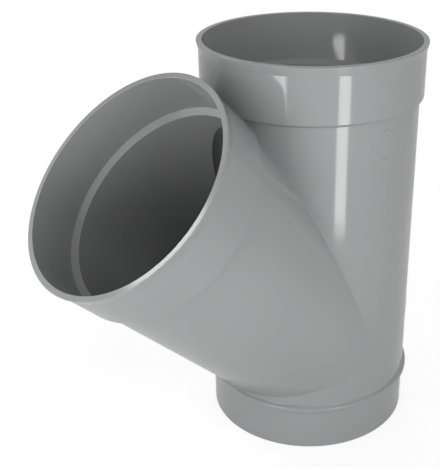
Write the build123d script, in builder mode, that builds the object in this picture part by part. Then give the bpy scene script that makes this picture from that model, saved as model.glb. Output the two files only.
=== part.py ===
from math import cos, radians, sin, tan
import os

from build123d import *

# Equal lateral wye for 160 mm drain pipe, moulded in one piece: a straight run with a socket on
# top and a plain spigot below, and a branch of the same bore that leaves it upwards at 45 degrees.
# Origin at the centre of the spigot's end, +Z up the run, the branch leans towards -X. Millimetres.

# Pipe and walls
pipe_radius = 80.0
spigot_wall = 4.2
body_swell = 0.4
socket_clearance = 0.6
socket_wall = 2.9

# Spigot, and the collar that stops the next socket
spigot_length = 35.8
spigot_chamfer = 0.8
collar_width = 2.95
collar_height = 4.6
collar_slope = 1.6
collar_rounding = 1.8
collar_edge = 0.6

# Sockets, the same on the run and on the branch
socket_depth = 38.0
stop_slope = 2.8
step_below_stop = 2.0
step_slope = 3.0
bead_width = 1.75
bead_height = 6.6
bead_rounding = 1.3
mouth_edge = 0.6

# Where the branch leaves the run
branch_angle = 45.0
heel_clearance = 0.7
crotch_margin = 2.0

# Radii that follow from the pipe
bore_radius = pipe_radius - spigot_wall
body_radius = pipe_radius + body_swell
collar_radius = pipe_radius + collar_width
socket_radius = pipe_radius + socket_clearance
socket_outer = socket_radius + socket_wall
bead_radius = socket_outer + bead_width

# Two equal cylinders meet in a heel below the crossing of their axes and in a crotch above it.
# The heel clears the collar, and both sockets begin the same distance past the crotch.
half_angle = radians(branch_angle / 2)
collar_top = spigot_length + collar_height
collar_shoulder = collar_top - collar_slope
crossing_height = collar_top + heel_clearance + body_radius * tan(half_angle)
socket_length = socket_depth + step_below_stop
branch_length = body_radius / tan(half_angle) + crotch_margin + socket_length
run_height = crossing_height + branch_length

# Plane of the branch's section: its x lies across the branch and its y runs out along it
lean = radians(branch_angle)
crossing = (0, 0, crossing_height)
branch_axis = Axis(crossing, (-sin(lean), 0, cos(lean)))
branch_plane = Plane(origin=crossing, x_dir=(cos(lean), 0, sin(lean)), z_dir=(0, -1, 0))

# The seam between run and branch lies in two planes at right angles that pass through the
# crossing: one through the heel, and one halfway between both axes, through the crotch
mitre_plane = Plane(origin=crossing, x_dir=(-cos(half_angle), 0, -sin(half_angle)), z_dir=(0, -1, 0))
mitre_reach = branch_length + bead_radius


def socket_wall_outline(rim):
    """Wall of a socket whose mouth is at this height, from the body outside to the bore inside."""
    step = rim - socket_length
    bead = rim - bead_height
    stop = rim - socket_depth
    return [
        (body_radius, step - step_slope),
        (socket_outer, step),
        (socket_outer, bead),
        (bead_radius, rim),
        (socket_radius, rim),
        (socket_radius, stop),
        (bore_radius, stop - stop_slope),
    ]


def corner(across, along):
    """The corner of the open sketch that lies at this point."""
    return vertices().sort_by_distance((across, along, 0))[0]


def ease_socket(rim):
    """Rounds the top of a socket's tapered bead and breaks the mouth's inner edge."""
    fillet(corner(bead_radius, rim), bead_rounding)
    chamfer(corner(socket_radius, rim), mouth_edge)


# Run: spigot, collar, body and beaded socket, turned about its axis as one wall
with BuildPart() as run:
    with BuildSketch(Plane.XZ):
        with BuildLine():
            Polyline(
                (bore_radius, 0),
                (pipe_radius, 0),
                (pipe_radius, spigot_length),
                (collar_radius, spigot_length),
                (collar_radius, collar_shoulder),
                (body_radius, collar_top),
                *socket_wall_outline(run_height),
                close=True,
            )
        make_face()
        chamfer(corner(pipe_radius, 0), spigot_chamfer)
        chamfer(corner(collar_radius, spigot_length), collar_edge)
        fillet(corner(collar_radius, collar_shoulder), collar_rounding)
        ease_socket(run_height)
    revolve(axis=Axis.Z)

# Branch: the same body and socket, drawn from below the crossing
with BuildPart() as branch:
    with BuildSketch(branch_plane):
        with BuildLine():
            Polyline(
                (bore_radius, -body_radius),
                (body_radius, -body_radius),
                *socket_wall_outline(branch_length),
                close=True,
            )
        make_face()
        ease_socket(branch_length)
    revolve(axis=branch_axis)

# Space that belongs to the branch: its edge is the crossing, its faces are the two seam planes
with BuildPart() as branch_side:
    with BuildSketch(mitre_plane):
        Rectangle(mitre_reach, mitre_reach, align=(Align.MIN, Align.MAX))
    extrude(amount=mitre_reach, both=True)

# The fitting: the run opened towards the branch, and the branch joined to it along the seam
with BuildPart() as wye_body:
    add(run.part)
    add(branch_side.part, mode=Mode.SUBTRACT)
    add(branch.part.intersect(branch_side.part))

os.makedirs("parts", exist_ok=True)
wye_body.part.label = "wye_body"
export_step(wye_body.part, "parts/wye_body.step")
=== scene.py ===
from math import cos, radians, sin, tan

import bmesh
import bpy
import numpy as np
from mathutils import Matrix, Vector


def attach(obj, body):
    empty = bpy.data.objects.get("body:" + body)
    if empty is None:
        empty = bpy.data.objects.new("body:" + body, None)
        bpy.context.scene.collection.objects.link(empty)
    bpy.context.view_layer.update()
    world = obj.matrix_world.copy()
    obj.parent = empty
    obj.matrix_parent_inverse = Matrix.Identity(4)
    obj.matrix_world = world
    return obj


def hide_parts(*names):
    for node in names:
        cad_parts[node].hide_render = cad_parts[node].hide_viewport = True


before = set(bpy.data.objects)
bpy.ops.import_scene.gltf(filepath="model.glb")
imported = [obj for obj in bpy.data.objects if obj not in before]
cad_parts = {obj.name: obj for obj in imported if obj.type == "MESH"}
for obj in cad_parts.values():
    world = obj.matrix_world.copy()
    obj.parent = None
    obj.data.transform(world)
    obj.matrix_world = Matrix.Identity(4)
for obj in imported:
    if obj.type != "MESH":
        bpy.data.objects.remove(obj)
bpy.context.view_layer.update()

MM = 0.001

# Sizes of the fitting, the same as in the solid
pipe_radius = 80.0 * MM
bore_radius = 75.8 * MM
body_radius = 80.4 * MM
collar_radius = 82.95 * MM
socket_radius = 80.6 * MM
socket_outer = 83.5 * MM
spigot_length = 35.8 * MM
spigot_chamfer = 0.8 * MM
collar_top = 40.4 * MM
collar_shoulder = 38.8 * MM
bead_height = 6.6 * MM
socket_depth = 38.0 * MM
stop_slope = 2.8 * MM
socket_length = 40.0 * MM
heel_clearance = 0.7 * MM
crotch_margin = 2.0 * MM
half_angle = radians(22.5)
crossing_height = collar_top + heel_clearance + body_radius * tan(half_angle)
branch_length = body_radius / tan(half_angle) + crotch_margin + socket_length

# Sizes that differ a little from the solid's: the step is steeper, and because the bead's corner is less
# rounded here, the bead is narrower and the branch's rim set back, so that both stay in the solid's box
step_slope = 2.3 * MM
bead_radius = 85.0 * MM
rim_setback = 0.42 * MM

# Roundings of the moulded edges
tight_rounding = 0.25 * MM
edge_rounding = 0.45 * MM
step_rounding = 0.45 * MM
mouth_rounding = 0.35 * MM
bead_rounding = 0.6 * MM
bead_foot_rounding = 2.5 * MM
collar_rounding = 1.8 * MM
collar_foot_rounding = 1.1 * MM
crotch_rounding = 0.05 * MM
flank_rounding = 0.3 * MM
heel_rounding = 3.0 * MM
flank_share = 0.75
shading_margin = 0.02 * MM
arc_steps = 7
sides = 256
branch_foot = -2.0 * MM

# Cutting, joining and rounding along the seam
seam_bands = [0.2 * MM, 0.45 * MM, 0.75 * MM, 1.15 * MM]
cut_distance = 1e-8
weld_distance = 2e-6
wall_margin = 0.3 * MM
nearer_wall, further_wall = 3.0 * MM, 8.0 * MM
rounding_passes = 3
least = 1e-9
sharp_angle = radians(40)

# Low oval ring on the wall of the run, below its socket
ring_angle = radians(-92)
ring_height = 250.0 * MM
ring_half_width = 7.0 * MM
ring_half_height = 10.6 * MM
ring_line = 1.1 * MM
ring_relief = 0.35 * MM
ring_steps, ring_section = 96, 12

# Directions of the run, of the branch and of the two seam planes between them
side = np.array([0.0, 1.0, 0.0])
crossing = np.array([0.0, 0.0, crossing_height])
run_axis = np.array([0.0, 0.0, 1.0])
run_toward = np.array([-1.0, 0.0, 0.0])
branch_axis = np.array([-sin(2 * half_angle), 0.0, cos(2 * half_angle)])
branch_toward = np.array([cos(2 * half_angle), 0.0, sin(2 * half_angle)])
crotch_normal = np.array([cos(half_angle), 0.0, sin(half_angle)])
heel_normal = np.array([sin(half_angle), 0.0, -cos(half_angle)])


def rounded_outline(corners):
    """Outline through corners (across, along, rounding), with an arc in place of each inner corner.

    The sides leave a corner in unit directions u and v, which meet at an angle of 2h. The arc of radius R
    touches them R / tan(h) from the corner and has its centre R / sin(h) from it, along u + v. Its points
    turn evenly from one touching place to the other, and one more point a little way along each side keeps
    that side's shading straight.
    """
    corners = np.asarray(corners, float)
    here, rounding = corners[1:-1, :2], corners[1:-1, 2:]
    back, ahead = corners[:-2, :2] - here, corners[2:, :2] - here
    back /= np.linalg.norm(back, axis=1, keepdims=True)
    ahead /= np.linalg.norm(ahead, axis=1, keepdims=True)
    half = np.arccos(np.clip((back * ahead).sum(axis=1, keepdims=True), -1, 1)) / 2
    centre = here + (back + ahead) / (2 * np.cos(half)) * rounding / np.sin(half)
    first = here + back * rounding / np.tan(half)
    last = here + ahead * rounding / np.tan(half)
    turn = np.pi - 2 * half
    share = np.linspace(0, 1, arc_steps)[:, None, None]
    arc = centre + (np.sin((1 - share) * turn) * (first - centre)
                    + np.sin(share * turn) * (last - centre)) / np.sin(turn)
    rows = np.concatenate([first[None] + back * shading_margin, arc, last[None] + ahead * shading_margin])
    return np.vstack([corners[:1, :2], rows.transpose(1, 0, 2).reshape(-1, 2), corners[-1:, :2]])


def turned(outline, axis, toward):
    """Mesh of an outline turned about an axis through the crossing.

    A point (across, along) turned by an angle t lies at
    crossing + across * (cos t * toward + sin t * side) + along * axis.
    """
    t = np.linspace(0, 2 * np.pi, sides + 1)[:, None, None]
    across, along = outline[None, :, :1], outline[None, :, 1:]
    points = crossing + across * (np.cos(t) * toward + np.sin(t) * side) + along * axis
    columns, rows = points.shape[:2]
    start = (np.arange(columns - 1)[:, None] * rows + np.arange(rows - 1)).reshape(-1, 1)
    faces = start + np.array([0, rows, rows + 1, 1])
    if np.dot(np.cross(toward, side), axis) < 0:
        faces = faces[:, ::-1]
    mesh = bpy.data.meshes.new("turned")
    mesh.from_pydata(points.reshape(-1, 3).tolist(), [], faces.tolist())
    return mesh


def parted(mesh, in_branch):
    """The mesh on the branch's side of both seam planes, or on the other side of them.

    Narrow bands along the planes leave edges for the rounding of the seam.
    """
    shape = bmesh.new()
    shape.from_mesh(mesh)
    for normal in (crotch_normal, heel_normal):
        for band in (*seam_bands, 0.0, *(-width for width in seam_bands)):
            everything = [*shape.verts, *shape.edges, *shape.faces]
            bmesh.ops.bisect_plane(shape, geom=everything, dist=cut_distance,
                                   plane_co=crossing + normal * band, plane_no=normal)
    planes = [Vector(normal) for normal in (crotch_normal, heel_normal)]
    middle = Vector(crossing)
    away = [face for face in shape.faces
            if in_branch != all((face.calc_center_median() - middle).dot(normal) < 0 for normal in planes)]
    bmesh.ops.delete(shape, geom=away, context="FACES")
    shape.to_mesh(mesh)
    shape.free()
    return mesh


def on_inner_seam(points):
    """Which points lie in a seam plane and on the bore."""
    away = points - crossing
    in_crotch, in_heel = (np.abs(away @ normal) < weld_distance for normal in (crotch_normal, heel_normal))
    across = np.linalg.norm(away - np.outer(away @ run_axis, run_axis), axis=1)
    return (in_crotch | in_heel) & (across < (bore_radius + body_radius) / 2)


def above_wall(points, axis):
    """Height of points above the outer wall of the tube along an axis, and the wall's normals there.

    The wall's radius R(s) is the body's up to the step, and rises to the socket's along it. The height is
    (distance from the axis - R) / sqrt(1 + R'^2), and the normal (outwards - R' * axis) / sqrt(1 + R'^2).
    """
    away = points - crossing
    along = away @ axis
    outwards = away - along[:, None] * axis
    across = np.linalg.norm(outwards, axis=1)
    foot, top = branch_length - socket_length - step_slope, branch_length - socket_length
    radius = np.interp(along, [foot, top], [body_radius, socket_outer])
    slope = np.where((along > foot) & (along < top), (socket_outer - body_radius) / step_slope, 0.0)
    length = np.sqrt(1 + slope ** 2)
    normal = outwards / across[:, None] - slope[:, None] * axis
    return (across - radius) / length, normal / length[:, None]


def seam_rounded(points):
    """Points with the concave seam between the two outer walls filled by an arc of radius r.

    Where walls with normals n and m, whose angle has the cosine c, lie a and b below a point, the centre
    of the arc is w = p * n + q * m from it, with p = (r - a - c * (r - b)) / (1 - c^2) and q the same with
    a and b exchanged. Where p and q are positive and w is longer than r, the point moves along w until w is
    r long. The radius grows with depth below the crotch, evenly down to the flank and again from there to
    the heel.
    """
    points = points.copy()
    heel = crossing_height - body_radius * tan(half_angle)
    crotch = crossing_height + body_radius / tan(half_angle)
    flank = heel + flank_share * (crotch - heel)
    for _ in range(rounding_passes):
        r = np.interp(points[:, 2], [heel, flank, crotch], [heel_rounding, flank_rounding, crotch_rounding])
        (a, n), (b, m) = above_wall(points, run_axis), above_wall(points, branch_axis)
        c = (n * m).sum(axis=1)
        spread = np.maximum(1 - c ** 2, least)
        p, q = (r - a - c * (r - b)) / spread, (r - b - c * (r - a)) / spread
        w = p[:, None] * n + q[:, None] * m
        length = np.maximum(np.linalg.norm(w, axis=1), least)
        outside = (np.minimum(a, b) > -wall_margin) & (points[:, 2] > collar_top)
        near = outside & (np.minimum(a, b) < nearer_wall) & (np.maximum(a, b) < further_wall)
        move = near & (p > 0) & (q > 0) & (length > r)
        points += np.where(move, 1 - r / length, 0.0)[:, None] * w
    return points


def joined(name, meshes):
    """One piece from meshes that share their seams, smooth but for its seams and its own sharp edges."""
    whole = bmesh.new()
    for mesh in meshes:
        whole.from_mesh(mesh)
        bpy.data.meshes.remove(mesh)
    bmesh.ops.remove_doubles(whole, verts=whole.verts, dist=weld_distance)
    mesh = bpy.data.meshes.new(name)
    whole.to_mesh(mesh)
    whole.free()
    points = np.empty(len(mesh.vertices) * 3)
    mesh.vertices.foreach_get("co", points)
    points = points.reshape(-1, 3)
    mesh.vertices.foreach_set("co", seam_rounded(points).ravel())
    mesh.update()
    mesh.shade_smooth()
    mesh.set_sharp_from_angle(angle=sharp_angle)
    ends = np.empty(len(mesh.edges) * 2, int)
    mesh.edges.foreach_get("vertices", ends)
    sharp = np.empty(len(mesh.edges), bool)
    mesh.edges.foreach_get("use_edge_sharp", sharp)
    sharp |= on_inner_seam(points)[ends.reshape(-1, 2)].all(axis=1)
    mesh.edges.foreach_set("use_edge_sharp", sharp)
    piece = bpy.data.objects.new(name, mesh)
    bpy.context.scene.collection.objects.link(piece)
    return piece


def socket_wall(rim):
    """Wall of a socket, from the body outside, round a mouth at this distance, to the bore inside."""
    return [
        (body_radius, branch_length - socket_length - step_slope, step_rounding),
        (socket_outer, branch_length - socket_length, step_rounding),
        (socket_outer, rim - bead_height, bead_foot_rounding),
        (bead_radius, rim, bead_rounding),
        (socket_radius, rim, mouth_rounding),
        (socket_radius, branch_length - socket_depth, tight_rounding),
        (bore_radius, branch_length - socket_depth - stop_slope, edge_rounding),
    ]


# Outlines of both tubes, with the distance along them counted from the crossing
collar_foot = spigot_length - crossing_height
spigot_wall = [
    (bore_radius, -crossing_height, edge_rounding),
    (pipe_radius - spigot_chamfer, -crossing_height, tight_rounding),
    (pipe_radius, spigot_chamfer - crossing_height, tight_rounding),
    (pipe_radius, collar_foot, tight_rounding),
    (collar_radius, collar_foot, edge_rounding),
    (collar_radius, collar_shoulder - crossing_height, collar_rounding),
    (body_radius, collar_top - crossing_height, collar_foot_rounding),
]
run_outline = rounded_outline([
    (bore_radius, 0, 0), *spigot_wall, *socket_wall(branch_length), (bore_radius, 0, 0)])
branch_outline = rounded_outline([
    (body_radius, branch_foot, 0), *socket_wall(branch_length - rim_setback),
    (bore_radius, branch_foot, 0)])

body = joined("moulded_body", [
    parted(turned(run_outline, run_axis, run_toward), False),
    parted(turned(branch_outline, branch_axis, branch_toward), True),
])
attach(body, "root")
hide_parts("wye_body")


def oval_ring():
    """Closed tube round an oval on the run's wall, half sunk in it.

    The tube's middle follows the angle m + (a / R) * cos t and the height h + b * sin t, where a and b are
    half the oval's width and height and R is the wall's radius. The tube's section, turned by s, adds
    w * cos s to a and to b, and d * sin s to R, where w is half the line's width and d is its relief.
    """
    t = np.linspace(0, 2 * np.pi, ring_steps + 1)[:-1, None]
    s = np.linspace(0, 2 * np.pi, ring_section + 1)[None, :-1]
    across = ring_half_width * np.cos(t) + ring_line / 2 * np.cos(s) * np.cos(t)
    height = ring_height + ring_half_height * np.sin(t) + ring_line / 2 * np.cos(s) * np.sin(t)
    radius = body_radius + ring_relief * np.sin(s) + 0 * t
    angle = ring_angle + across / body_radius
    points = np.stack([radius * np.cos(angle), radius * np.sin(angle), height], axis=2)
    columns, rows = points.shape[:2]
    i, j = np.meshgrid(np.arange(columns), np.arange(rows), indexing="ij")
    ahead, above = (i + 1) % columns * rows, (j + 1) % rows
    faces = np.stack([i * rows + j, ahead + j, ahead + above, i * rows + above], axis=2).reshape(-1, 4)
    mesh = bpy.data.meshes.new("oval_ring")
    mesh.from_pydata(points.reshape(-1, 3).tolist(), [], faces.tolist())
    mesh.shade_smooth()
    piece = bpy.data.objects.new("oval_ring", mesh)
    bpy.context.scene.collection.objects.link(piece)
    return piece


ring = oval_ring()
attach(ring, "root")


class Signal:
    """A socket of a node tree that adds and multiplies as a number does."""

    def __init__(self, tree, socket):
        self.tree, self.socket = tree, socket

    def maths(self, operation, *terms):
        return self.tree.node("ShaderNodeMath", {"operation": operation}, dict(enumerate(terms)))

    def __add__(self, other):
        return self.maths("ADD", self, other)

    def __mul__(self, other):
        return self.maths("MULTIPLY", self, other)

    __radd__, __rmul__ = __add__, __mul__


class Nodes:
    """A node tree in which one call makes a node of any type, with its settings and its sockets."""

    def __init__(self, owner):
        owner.use_nodes = True
        self.tree = owner.node_tree
        self.tree.nodes.clear()

    def node(self, kind, settings={}, sockets={}, output=0):
        made = self.tree.nodes.new(kind)
        for name, value in settings.items():
            setattr(made, name, value)
        for name, value in sockets.items():
            if isinstance(value, Signal):
                self.tree.links.new(value.socket, made.inputs[name])
            else:
                made.inputs[name].default_value = value
        return Signal(self, made.outputs[output]) if made.outputs else made

    def shown_rays(self, gloss):
        """How much of the white surroundings a ray shows: all to the camera, the gloss a share of it."""
        return (self.node("ShaderNodeLightPath", output="Is Camera Ray")
                + self.node("ShaderNodeLightPath", output="Is Glossy Ray") * gloss
                + self.node("ShaderNodeLightPath", output="Is Transmission Ray"))

    def noise(self, coordinates, scale, detail=2.0, roughness=0.5):
        return self.node("ShaderNodeTexNoise", {}, {
            "Vector": coordinates, "Scale": scale, "Detail": detail, "Roughness": roughness})


def moulded_pvc():
    """Grey PVC as it leaves the mould: glossy, with a faint cloudiness and a fine, shallow grain."""
    material = bpy.data.materials.new("moulded_pvc")
    pvc = Nodes(material)
    darker_grey, lighter_grey = (0.300, 0.302, 0.306, 1), (0.325, 0.327, 0.331, 1)
    drawn_out = (1.0, 1.0, 0.3)
    place = pvc.node("ShaderNodeTexCoord", output="Object")
    flow = pvc.node("ShaderNodeMapping", {}, {"Vector": place, "Scale": drawn_out})
    cloud = pvc.noise(place, scale=14.0, detail=3.0)
    streaks = pvc.noise(flow, scale=55.0)
    grain = pvc.noise(place, scale=900.0, roughness=0.6)
    tint = pvc.node("ShaderNodeMix", {"data_type": "RGBA"}, {
        0: cloud * 0.7 + grain * 0.3, 6: darker_grey, 7: lighter_grey}, output=2)
    relief = pvc.node("ShaderNodeBump", {}, {
        "Strength": 1.0, "Distance": MM, "Height": streaks * 0.012 + grain * 0.004})
    shader = pvc.node("ShaderNodeBsdfPrincipled", {}, {
        "Base Color": tint, "Roughness": 0.07 + cloud * 0.03 + grain * 0.03, "IOR": 1.53, "Normal": relief})
    pvc.node("ShaderNodeOutputMaterial", {}, {"Surface": shader})
    return material


pvc = moulded_pvc()
body.data.materials.append(pvc)
ring.data.materials.append(pvc)

# Table: a pale round top with the fitting's soft shadow, near white to the camera. In reflections the
# table and the room show at the shares that match the photograph's tones.
table_radius, fade_start, fade_end = 0.52, 0.44, 0.51
table_sides = 96
table_glow = 0.79
table_share, room_share = 0.25, 0.6
round_table = np.linspace(0, 2 * np.pi, table_sides + 1)[:-1]
disc = table_radius * np.stack([np.cos(round_table), np.sin(round_table), 0 * round_table], axis=1)
table_mesh = bpy.data.meshes.new("table_top")
table_mesh.from_pydata(disc.tolist(), [], [list(range(len(disc)))])
table = bpy.data.objects.new("table_top", table_mesh)
bpy.context.scene.collection.objects.link(table)

white = (1.0, 1.0, 1.0, 1.0)
matt_white = (0.82, 0.82, 0.82, 1.0)
shadow_white = (0.3, 0.3, 0.3, 1.0)


def pale_table():
    """Matt white, with a glow for rays that show it, which leaves the shadow faintly visible.

    Within the spigot, where hardly any light falls, it is matt white alone. It fades out towards its edge.
    """
    material = bpy.data.materials.new("pale_table")
    matt = Nodes(material)
    place = matt.node("ShaderNodeTexCoord", output="Object")
    distance = matt.node("ShaderNodeVectorMath", {"operation": "LENGTH"}, {0: place}, output=1)
    around = distance.maths("GREATER_THAN", distance, (bore_radius + pipe_radius) / 2)
    plain = matt.node("ShaderNodeBsdfDiffuse", {}, {"Color": matt_white})
    faint = matt.node("ShaderNodeBsdfDiffuse", {}, {"Color": shadow_white})
    glow = matt.node("ShaderNodeEmission", {}, {"Color": white, "Strength": table_glow})
    shown = matt.node("ShaderNodeAddShader", {}, {0: faint, 1: glow})
    shader = matt.node("ShaderNodeMixShader", {}, {
        0: matt.shown_rays(table_share) * around, 1: plain, 2: shown})
    edge = matt.node("ShaderNodeMapRange", {}, {
        "Value": distance, "From Min": fade_start, "From Max": fade_end, "To Min": 0.0, "To Max": 1.0})
    clear = matt.node("ShaderNodeBsdfTransparent")
    faded = matt.node("ShaderNodeMixShader", {}, {0: edge, 1: shader, 2: clear})
    matt.node("ShaderNodeOutputMaterial", {}, {"Surface": faded})
    return material


table_mesh.materials.append(pale_table())

# Room: white to the camera and at its share in reflections, with a faint even light for the fitting
even_light = 0.02
studio = bpy.data.worlds.new("studio")
bpy.context.scene.world = studio
room = Nodes(studio)
backdrop = room.node("ShaderNodeBackground", {}, {"Color": white, "Strength": 1.0})
ambient = room.node("ShaderNodeBackground", {}, {"Color": white, "Strength": even_light})
shown_room = room.node("ShaderNodeMixShader", {}, {0: room.shown_rays(room_share), 1: ambient, 2: backdrop})
room.node("ShaderNodeOutputWorld", {}, {"Surface": shown_room})

# Lamps, all turned to the fitting's middle. Those that aren't glossy don't show in reflections.
camera_azimuth = radians(-42.56)
aim = Vector((-0.04, 0.0, 0.15))


def softbox(name, azimuth, distance, height, width, tall, radiance, glossy=True):
    """Rectangular lamp, at an azimuth counted from the camera's side and growing to its right.

    Its power is its radiance times pi times its area.
    """
    lamp = bpy.data.lights.new(name, "AREA")
    lamp.shape, lamp.size, lamp.size_y = "RECTANGLE", width, tall
    lamp.energy = radiance * np.pi * width * tall
    light = bpy.data.objects.new(name, lamp)
    bpy.context.scene.collection.objects.link(light)
    around = camera_azimuth + radians(azimuth)
    light.location = (sin(around) * distance, -cos(around) * distance, height)
    light.rotation_euler = (aim - light.location).to_track_quat("-Z", "Y").to_euler()
    light.visible_glossy = glossy


softbox("strip_right", 31.4, 1.1, -0.1, 0.22, 1.0, 6.4)
softbox("strip_left", -30.4, 1.1, -0.1, 0.26, 1.0, 5.6)
softbox("rim_light", -98, 1.18, 0.85, 0.22, 0.2, 6.4)
softbox("rim_glow", -98, 1.2, 0.86, 0.6, 0.6, 0.7)
softbox("side_left", -80, 1.45, 0.1, 0.8, 0.8, 1.1)
softbox("front_right", 44, 1.36, 0.78, 0.8, 0.8, 3.4, False)
softbox("front_left", -44, 1.36, 0.76, 0.8, 0.8, 2.6, False)
softbox("front_low", -10, 1.3, -0.05, 1.2, 0.6, 1.2, False)
softbox("side_right", 98, 1.49, 0.1, 0.5, 0.8, 2.2, False)
softbox("overhead", 10, 0.8, 1.3, 0.8, 0.8, 1.4, False)
softbox("back_right", 150, 1.36, 0.6, 0.8, 0.8, 1.8, False)
softbox("back_middle", -178, 1.36, 0.78, 0.8, 0.8, 3.6, False)
softbox("back_left", -135, 1.36, 0.6, 0.8, 0.8, 2.8, False)

# Camera: where the photograph was taken from, with the lens shifted so that its sight line meets the
# picture right of the middle
photo_width, photo_height = 440, 467
sight_column = 285.0
focal_pixels = 899.9
eye_distance, eye_height = 0.65274, 0.46755
pan, pitch, roll = radians(1.74), radians(25.89), radians(0.08)
lens = bpy.data.cameras.new("camera")
lens.sensor_width = 36.0
lens.lens = focal_pixels / photo_height * lens.sensor_width
lens.shift_x = (photo_width / 2 - sight_column) / photo_height
lens.clip_start, lens.clip_end = 0.01, 20.0
camera = bpy.data.objects.new("camera", lens)
bpy.context.scene.collection.objects.link(camera)
facing = (Matrix.Rotation(camera_azimuth + pan, 4, "Z") @ Matrix.Rotation(radians(90) - pitch, 4, "X")
          @ Matrix.Rotation(roll, 4, "Z"))
camera.matrix_world = Matrix.Translation((
    sin(camera_azimuth) * eye_distance, -cos(camera_azimuth) * eye_distance, eye_height)) @ facing
bpy.context.scene.camera = camera
bpy.context.scene.view_settings.view_transform = "Standard"
